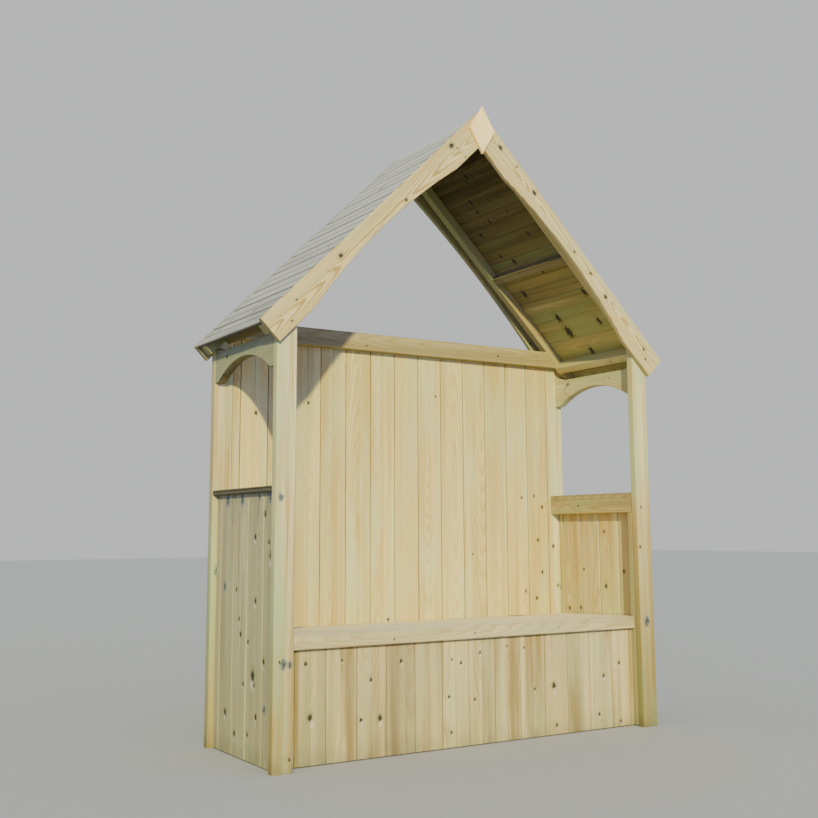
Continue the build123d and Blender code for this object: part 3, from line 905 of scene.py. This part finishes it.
FRONT_JOINTS = [-0.722, -0.606, -0.489, -0.372, -0.258, -0.144, -0.03, 0.085, 0.2, 0.314, 0.424,
    0.536, 0.647]
FRONT_KNOTS = mm((-683, 326, 6), (-547, 329, 4), (-316, 313, 6), (-436, 258, 6), (-665, 154, 10),
    (-474, 130, 6), (-400, 130, 9), (-118, 177, 5), (-104, 304, 4), (-66, 290, 5), (18, 321, 5),
    (140, 337, 4), (218, 327, 4), (-7, 159, 5), (356, 181, 10), (265, 175, 5), (602, 200, 6),
    (683, 242, 6), (576, 58, 6), (684, 23, 5), (366, 37, 6), (-109, 55, 5))
FRONT_LIFTS = [0.5, 0.3, -0.2, 0.3, -0.5, 0.5, 0.55, 0.6, 0.45, 1.2, -0.2, 0.05, 0.6, 0.65]


def make_box():
    """The front boards, the floor boards and their bearers."""
    low, high = corners("front_panel")
    boards = boarding([low[0]] + FRONT_JOINTS + [high[0]], high[1] * REAR, UP, -REAR, RIGHT,
        low[2], high[2], knots=FRONT_KNOTS, grow=0.9, weather=(0.2, 0.0), lifts=FRONT_LIFTS)
    build("boards_front", boards, "front", ["front_panel"])
    low, high = corners("storage_floor")
    boards = boarding(list(np.linspace(low[1], high[1], 5)), low[2] * UP, RIGHT, UP, REAR, low[0],
        high[0], middle=False)
    build("boards_floor", boards, "seat", ["storage_floor"])
    for name in ("floor_bearer_front", "floor_bearer_rear"):
        low, high = corners(name)
        single(name, "rafter", "floor_boards", oblong(low[1], high[1], low[2], high[2]), ORIGIN,
            RIGHT, UP, REAR, evenly(low[0], high[0], 0.4), tone=(0.4, 0.5, 0.4))


SEAT_FALL = 0.017  # how much lower the seat is at the rear
SEAT_JOINTS = (-0.229, -0.118, -0.008, 0.101, 0.2086)  # front edge, joints and rear edge, as y
SEAT_TONES = [(0.55, 0.6, 0.3), (0.3, 0.8, 0.5), (0.7, 0.4, 0.2), (0.45, 0.7, 0.4)]
SEAT_HALF = 0.788  # half the lid's length
SEAT_CORNER = 0.747  # half its length between the posts
SEAT_NOTCH = 0.044  # depth of the notches that pass the posts
SEAT_BOARD = 0.018


def seat_frame():
    """The seat's top at its front edge, and its directions rearwards and out of it."""
    low, high = corners("seat_front_rail")
    fall = SEAT_FALL / (REAR_POST - low[1])
    rear = np.array([0, 1.0, -fall]) / sqrt(1 + fall ** 2)
    out = np.array([0, fall, 1.0]) / sqrt(1 + fall ** 2)
    return np.array([0, low[1], high[2]]), rear, out


def make_seat():
    """The lid's boards, its front rail and battens, and the fixed rail behind it."""
    origin, rear, out = seat_frame()

    def along_fall(y):
        """How far rearwards on the slope a y lies."""
        return (y - float(origin[1])) / rear[1]

    sticks = []
    edges = [along_fall(y) for y in SEAT_JOINTS]
    for number, (e0, e1) in enumerate(zip(edges[:-1], edges[1:])):
        e0, e1 = e0 + (0.0006 if number else 0), e1 - 0.0006
        pieces = ([(e0, e1, SEAT_HALF)] if number else [(e0, SEAT_NOTCH, SEAT_CORNER),
            (SEAT_NOTCH, e1, SEAT_HALF)])
        knots = loose_knots(e0, e1, -0.7, 0.7, 1.5)
        pith = (chance.normal(0, 0.02), -0.032, 0.03)
        for a, b, wide in pieces:
            # weather lays the pale worn colour on the lid's top: partly bleaching, partly a
            # painted highlight
            sticks.append(stick(oblong(a, b, -SEAT_BOARD, 0.0, 0.002 if number else 0.0012),
                origin, RIGHT, out, rear, evenly(-wide, wide, 0.2), knots=knots,
                tone=SEAT_TONES[number], pith=pith, middle=(e0 + e1) / 2, weather=(0.0, 0.95)))
    build("boards_seat", sticks, "seat", ["seat_boards"], "seat_lid")
    one = stick(oblong(-0.045, 0.0, 0.0, 0.02, 0.003), origin + 0.02 * rear, RIGHT, -rear, out,
        evenly(-SEAT_CORNER, SEAT_CORNER, 0.2), tone=(0.45, 0.7, 0.3),
        knots=[(-0.028, -0.359, 0.003), (-0.025, -0.021, 0.003), (-0.026, 0.366, 0.002)])
    build("timber_seat_front", [one], "front", ["seat_front_rail"], "seat_lid")
    for hand in ("left", "right"):
        low, high = corners("seat_batten_" + hand)
        single("seat_batten_" + hand, "seat", "seat_boards",
            oblong(low[0], high[0], -0.02 - SEAT_BOARD, -SEAT_BOARD, 0.0015), origin, rear, out,
            RIGHT, evenly(along_fall(low[1]), along_fall(high[1]), 0.2), body="seat_lid")
    low, high = corners("seat_rear_rail")
    single("seat_rear_rail", "seat", "seat_boards", oblong(along_fall(low[1]), along_fall(high[1]),
        -0.045, 0.0), origin, RIGHT, out, rear, evenly(-SIDE_INNER, SIDE_INNER, 0.2),
        tone=(0.5, 0.6, 0.4), weather=(0.0, 0.4), knots=loose_knots(0.47, 0.5, -0.7, 0.7, 1.5))


def make_hinges():
    """The hinges keep their own shape in zinc-plated steel."""
    for name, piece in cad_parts.items():
        if name.startswith("hinge"):
            piece.data.materials.clear()
            piece.data.materials.append(ZINC)


NAIL_RINGS = ((0.0024, -0.0004), (0.0024, 0.0003), (0.0013, 0.0006))  # radius and height
NAIL_TOP = 0.0007


def nail_places():
    """Each nail's place and the direction in which its head faces."""
    cap = corners("arm_cap_right")[1][2]
    places = []
    for sign in (-1, 1):
        origin, down, drop = slope(sign)
        for e in [0.068 + COVER * n for n in range(11)]:
            for y in (FRONT + 0.018, RAFTER_REAR + 0.018):
                places += [(origin + (e + shift) * down + y * REAR, -drop)
                    for shift in (-0.02, 0.03)]
        for s in (0.3, 0.62, 0.95, 1.2):
            spot = origin + s * down + 0.03 * drop
            places += [(spot + (FRONT - BARGE) * REAR, -REAR),
                (spot + (ROOF_END + BARGE) * REAR, REAR)]
        for y in SIDE_EDGES[sign][1:-1]:
            places += [(np.array([sign * SIDE_FACE, y + 0.03, z]), sign * RIGHT)
                for z in (0.862, 0.03)]
        places += [(np.array([sign * 0.785, y, cap]), UP) for y in (-0.18, 0.0, 0.19)]
    for x in [-0.69 + COVER * n for n in range(13)]:
        places += [(np.array([x, REAR_POST + BOARD, z]), REAR) for z in (1.506, 0.385, 0.025)]
    return places


def make_nails():
    """Nail heads: shallow domes whose height falls with the square of the radius."""
    turn = np.linspace(0, 2 * pi, 9)[:-1, None]
    points, faces = [], []
    for number, (place, normal) in enumerate(nail_places()):
        other = np.cross(normal, REAR if abs(normal[1]) < 0.9 else UP)
        other = other / np.linalg.norm(other)
        third = np.cross(normal, other)
        points += [place + r * (np.cos(turn) * other + np.sin(turn) * third) + h * normal
            for r, h in NAIL_RINGS]
        points.append((place + NAIL_TOP * normal)[None])
        start = number * 25
        for k in range(8):
            a, b = start + k, start + (k + 1) % 8
            faces += [(a, b, b + 8, a + 8), (a + 8, b + 8, b + 16, a + 16),
                (a + 16, b + 16, start + 24)]
    piece = add_mesh("nail_heads", np.concatenate(points).tolist(), faces, NAIL_STEEL)
    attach(piece, "frame")


# ---------------- camera, floor and light

EYE = (-2.3708, -3.5871, 0.7520)
YAW, PITCH, ROLL = -0.5603914, 0.1496681, -0.0050107
PICTURE = 818  # pixels along each side of the photograph
FOCAL = 1110.43  # in pixels
AXIS = (413.215, 364.707)  # where the camera's axis meets the photograph, in pixels
SENSOR = 36.0


def make_camera():
    """The photograph's camera: its place, its turn and its off-centre axis."""
    forward = Vector((-sin(YAW) * cos(PITCH), cos(YAW) * cos(PITCH), sin(PITCH)))
    right = Vector((cos(YAW), sin(YAW), 0.0))
    up = right.cross(forward)
    across = cos(ROLL) * right + sin(ROLL) * up
    upward = -sin(ROLL) * right + cos(ROLL) * up
    data = bpy.data.cameras.new("photo_camera")
    data.sensor_fit = "HORIZONTAL"
    data.sensor_width = SENSOR
    data.lens = FOCAL / PICTURE * SENSOR
    data.shift_x = (PICTURE / 2 - AXIS[0]) / PICTURE
    data.shift_y = (AXIS[1] - PICTURE / 2) / PICTURE
    data.clip_start = 0.05
    data.clip_end = 200.0
    camera = add_object("photo_camera", data)
    placed = Matrix((across, upward, -forward)).transposed().to_4x4()
    placed.translation = Vector(EYE)
    camera.matrix_world = placed
    bpy.context.scene.camera = camera


FLOOR_LIT = (0.28, 0.28, 0.27, 1)  # what the floor throws back
FLOOR_SEEN = (0.46, 0.455, 0.44, 1)
SKY = (0.77, 0.9, 1.08, 1)
LOW_FRONT_SKY = (0.82, 1.15, 3.3, 1)
SKY_SEEN = (0.95, 0.96, 0.97, 1)
SKY_STRENGTH = 0.68
SUN_COLOUR = (1.0, 0.91, 0.41)
SUN_STRENGTH = 4.85
SUN_ANGLE = 1.6  # degrees
SUN_WAY = (0.48, 1.0, -0.40)


def make_studio():
    """A plain pale floor, a pale surround and one soft key light from the left and the front.

    The floor throws back less light than it shows, and the surround is bluer low in front.
    """
    pale, g, shader = new_material("pale_floor")
    seen = g.put("ShaderNodeLightPath").outputs["Is Camera Ray"]
    g.link(g.blend(seen, FLOOR_LIT, FLOOR_SEEN), shader["Base Color"])
    shader["Roughness"].default_value = 0.9
    floor = add_mesh("floor", [(-30, -30, 0), (30, -30, 0), (30, 30, 0), (-30, 30, 0)],
        [(0, 1, 2, 3)], pale)
    world = bpy.data.worlds.new("studio")
    bpy.context.scene.world = world
    world.use_nodes = True
    g = Graph(world.node_tree)
    seen = g.put("ShaderNodeLightPath").outputs["Is Camera Ray"]
    toward = g.split(g.put("ShaderNodeTexCoord").outputs["Generated"])
    low_front = g.times(g.step(toward[1], 0.0, -0.75), g.step(toward[2], 0.75, 0.25))
    background = world.node_tree.nodes["Background"].inputs
    g.link(g.blend(seen, g.blend(low_front, SKY, LOW_FRONT_SKY), SKY_SEEN), background[0])
    background[1].default_value = SKY_STRENGTH
    sun = bpy.data.lights.new("key", "SUN")
    sun.energy = SUN_STRENGTH
    sun.angle = radians(SUN_ANGLE)
    sun.color = SUN_COLOUR
    key = add_object("key", sun)
    key.rotation_euler = Vector(SUN_WAY).to_track_quat("-Z", "Y").to_euler()


make_camera()
make_studio()
make_posts()
make_roof()
make_rafters()
make_barges()
make_cross_rails()
make_apex_plate()
make_sides()
make_arches()
make_back()
make_box()
make_seat()
make_hinges()
make_nails()
